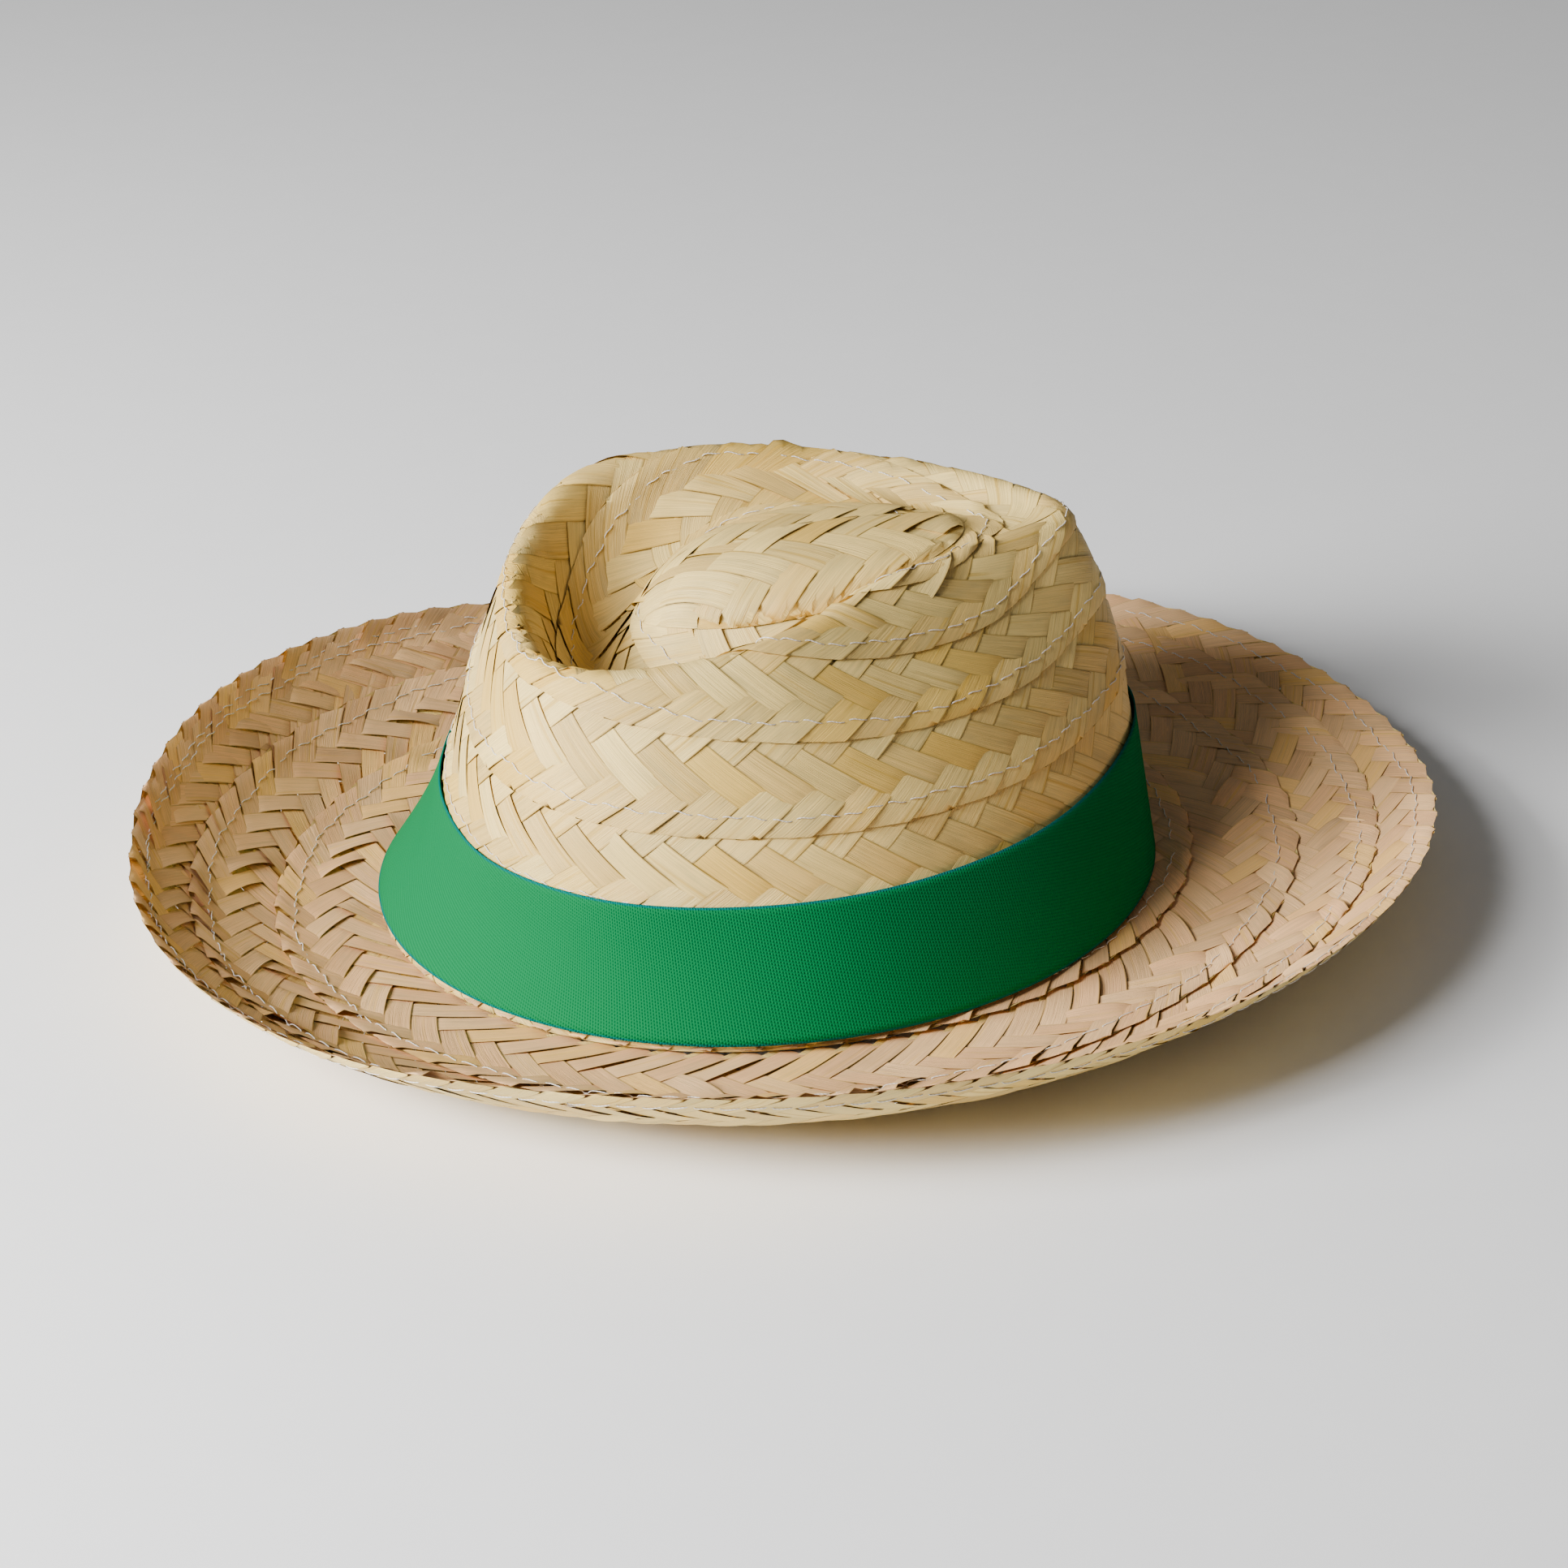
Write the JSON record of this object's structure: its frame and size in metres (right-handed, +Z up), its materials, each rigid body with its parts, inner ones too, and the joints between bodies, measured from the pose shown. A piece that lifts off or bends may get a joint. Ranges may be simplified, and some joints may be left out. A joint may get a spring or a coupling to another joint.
{
  "type": "woven straw sun hat with creased crown",
  "caption": "Palm straw sun hat with a creased, dented crown, a curled brim sewn from rows of plait, and a plain green ribbon band.",
  "frame": {"origin": "middle of the hat's outline seen from above, on the table that the brim rests on", "axes": "+X to the front of the hat, +Y to the wearer's left, +Z up through the crown"},
  "size_m": [0.349, 0.3296, 0.1018],
  "materials": {
    "crown_straw": "pale woven palm leaf, low sheen",
    "brim_straw": "pinkish tan woven palm leaf, low sheen",
    "ribbon": "matt twill ribbon"
  },
  "bodies": {
    "root": {"crown": "crown_straw", "brim": "brim_straw", "hatband": "ribbon"}
  },
  "joints": []
}
